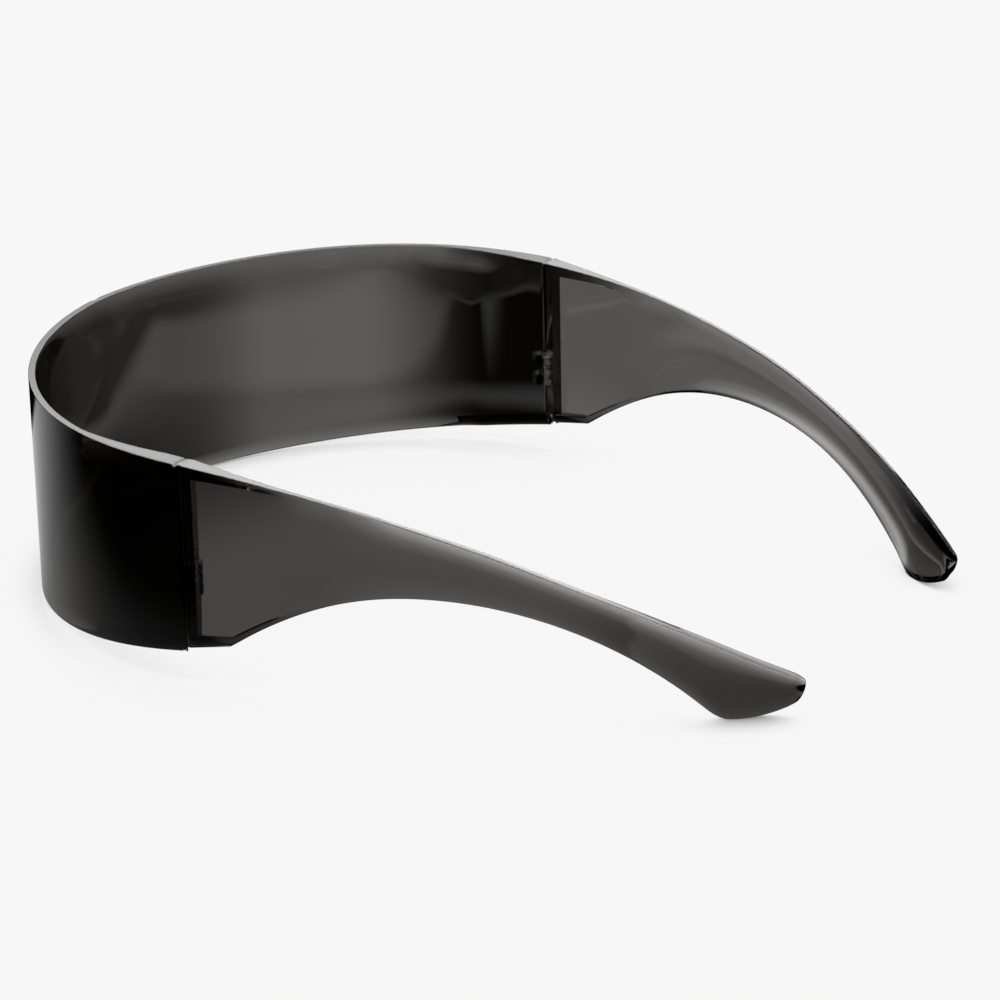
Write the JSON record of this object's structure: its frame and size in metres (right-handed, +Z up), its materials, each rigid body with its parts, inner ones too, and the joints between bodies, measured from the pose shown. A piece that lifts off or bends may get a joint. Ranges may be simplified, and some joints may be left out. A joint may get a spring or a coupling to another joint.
{
  "type": "shield sunglasses",
  "caption": "Wrap-round shield sunglasses in smoke plastic: a one-piece curved lens shield with folding arched temples on screw hinges.",
  "frame": {"origin": "centre of the bounding box, at the level of the surface the glasses stand on", "axes": "+Z up, -Y the way the wearer looks, +Y towards the temple tips, +X to the wearer's left"},
  "size_m": [0.146, 0.1836, 0.0458],
  "materials": {
    "smoke_polycarbonate": "polished smoke-tinted polycarbonate, glossy, lets a little light through where it is thin",
    "screw_steel": "fine-turned stainless steel"
  },
  "bodies": {
    "front": {"shield": "smoke_polycarbonate", "hinge_screw_left": "screw_steel", "hinge_screw_right": "screw_steel"},
    "left_temple": {"temple_left": "smoke_polycarbonate"},
    "right_temple": {"temple_right": "smoke_polycarbonate"}
  },
  "joints": [
    {"name": "left_temple_fold", "type": "hinge", "parent": "front", "child": "left_temple", "pos_m": [0.0685, -0.02105, 0.0202], "axis": [0, 0, 1], "range_deg": [0, 90]},
    {"name": "right_temple_fold", "type": "hinge", "parent": "front", "child": "right_temple", "pos_m": [-0.0685, -0.02105, 0.0202], "axis": [0, 0, -1], "range_deg": [0, 78]}
  ]
}
